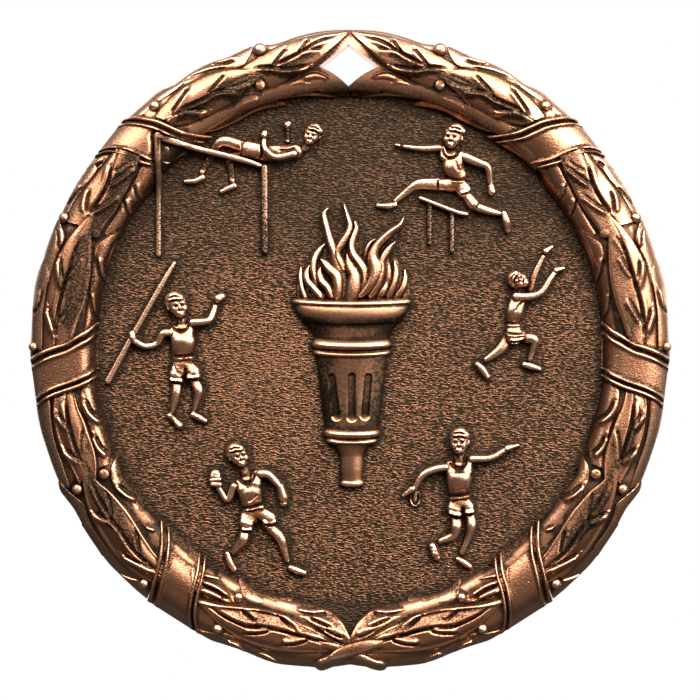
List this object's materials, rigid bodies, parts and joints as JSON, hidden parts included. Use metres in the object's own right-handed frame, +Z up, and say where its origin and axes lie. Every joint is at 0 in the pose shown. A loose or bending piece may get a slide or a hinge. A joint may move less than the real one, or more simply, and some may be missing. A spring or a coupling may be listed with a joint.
{
  "type": "relief award medal",
  "caption": "Round relief medal with a laurel wreath border, a flaming torch, athletes in the field and a ribbon hole at the top.",
  "frame": {"origin": "centre of the flat engraving face on the back", "axes": "+Z up as the medal hangs, +Y out of the back, the relief faces -Y, +X to the right as seen from the front"},
  "size_m": [0.0506, 0.0039, 0.0508],
  "materials": {
    "field": "antique bronze plate, sand-textured, dark",
    "wreath": "antique bronze plate, relieved and lacquered",
    "torch": "antique bronze plate, relieved and lacquered",
    "figures": "antique bronze plate, relieved and lacquered"
  },
  "bodies": {
    "root": {"discus": "figures", "discus_thrower": "figures", "field_plate": "field", "flame_back_tongues": "torch", "flame_front_tongues": "torch", "high_jump_crossbar": "figures", "high_jump_left_post": "figures", "high_jump_right_post": "figures", "high_jumper": "figures", "hurdle_left_leg": "figures", "hurdle_right_leg": "figures", "hurdle_top_rail": "figures", "hurdler": "figures", "javelin": "figures", "javelin_thrower": "figures", "left_berries": "wreath", "left_crown_leaves_1": "wreath", "left_crown_leaves_2": "wreath", "left_crown_leaves_3": "wreath", "left_crown_leaves_4": "wreath", "left_lower_band": "wreath", "left_middle_band": "wreath", "left_side_leaves_1": "wreath", "left_side_leaves_2": "wreath", "left_side_leaves_3": "wreath", "left_side_leaves_4": "wreath", "left_stem": "wreath", "left_upper_band": "wreath", "long_jumper": "figures", "right_berries": "wreath", "right_crown_leaves_1": "wreath", "right_crown_leaves_2": "wreath", "right_crown_leaves_3": "wreath", "right_crown_leaves_4": "wreath", "right_lower_band": "wreath", "right_middle_band": "wreath", "right_side_leaves_1": "wreath", "right_side_leaves_2": "wreath", "right_side_leaves_3": "wreath", "right_side_leaves_4": "wreath", "right_stem": "wreath", "right_upper_band": "wreath", "shot": "figures", "shot_putter": "figures", "torch_barrel": "torch", "torch_bowl": "torch", "torch_collar": "torch", "torch_handle": "torch", "torch_lower_ring": "torch", "torch_neck": "torch", "torch_rim": "torch", "torch_socket": "torch", "wreath_core_left": "wreath", "wreath_core_right": "wreath"}
  },
  "joints": []
}
